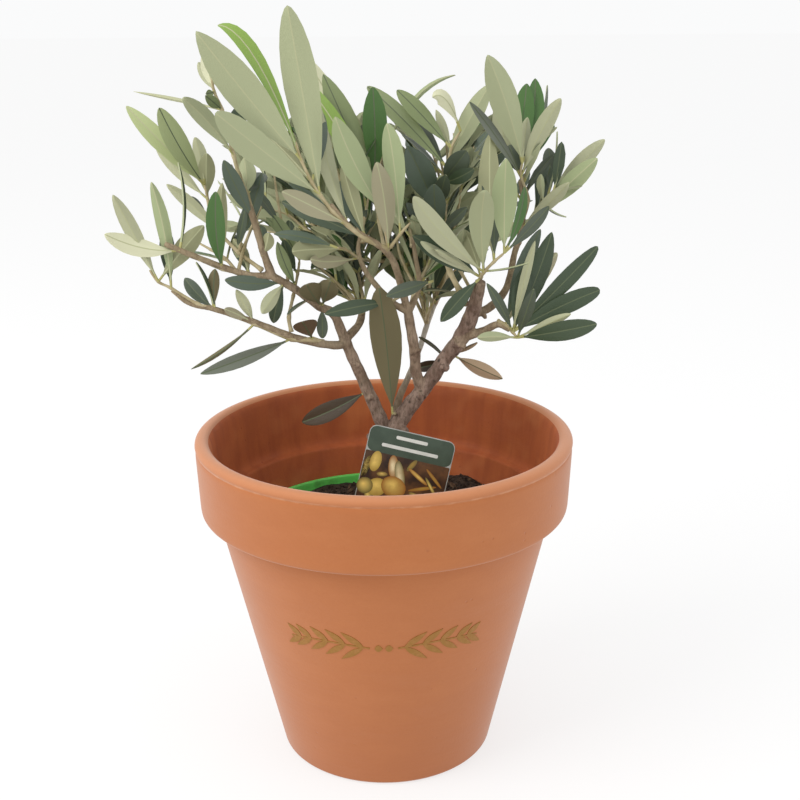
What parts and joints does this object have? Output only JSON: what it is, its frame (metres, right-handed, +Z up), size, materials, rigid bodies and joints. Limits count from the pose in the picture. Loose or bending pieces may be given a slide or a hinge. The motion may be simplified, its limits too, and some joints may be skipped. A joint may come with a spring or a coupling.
{
  "type": "potted olive tree",
  "caption": "Young bushy olive tree with a short forked trunk and narrow grey-green leaves, in a nursery pot stood inside a tapered terracotta flower pot with a deep rim band.",
  "frame": {"origin": "centre of the terracotta pot's flat underside, on the floor", "axes": "+Z up; -Y towards the side where the plant label stands; +X to the right as seen from there"},
  "size_m": [0.208, 0.171, 0.334],
  "materials": {
    "terracotta": "matte",
    "green_plastic": "satin",
    "compost": "matte",
    "label_card": "satin",
    "bark": "matte",
    "leaves": "matte"
  },
  "bodies": {
    "root": {"back_bough": "bark", "back_left_leaves": "leaves", "back_right_leaves": "leaves", "centre_leaves": "leaves", "compost": "compost", "drooping_leaf": "leaves", "front_right_leaves": "leaves", "hanging_leaf": "leaves", "inner_leaves": "leaves", "inner_left_bough": "bark", "inner_left_leaves": "leaves", "leading_leaves": "leaves", "leading_shoot": "bark", "left_bough": "bark", "left_middle_leaves": "leaves", "left_tip_leaves": "leaves", "low_left_bough": "bark", "low_left_leaves": "leaves", "low_right_leaf": "leaves", "low_right_leaves": "leaves", "low_right_shoot": "bark", "middle_bough": "bark", "middle_left_shoot": "bark", "middle_right_shoot": "bark", "nursery_pot": "green_plastic", "outer_left_shoot": "bark", "outer_right_bough": "bark", "outer_right_leaves": "leaves", "plant_label": "label_card", "right_bough": "bark", "right_crown_leaves": "leaves", "right_crown_shoot": "bark", "terracotta_pot": "terracotta", "top_middle_leaves": "leaves", "trunk": "bark", "upper_left_bough": "bark", "upper_left_leaves": "leaves", "upper_left_shoot": "bark", "upper_middle_leaves": "leaves", "upper_right_leaves": "leaves", "upper_right_shoot": "bark"}
  },
  "joints": []
}
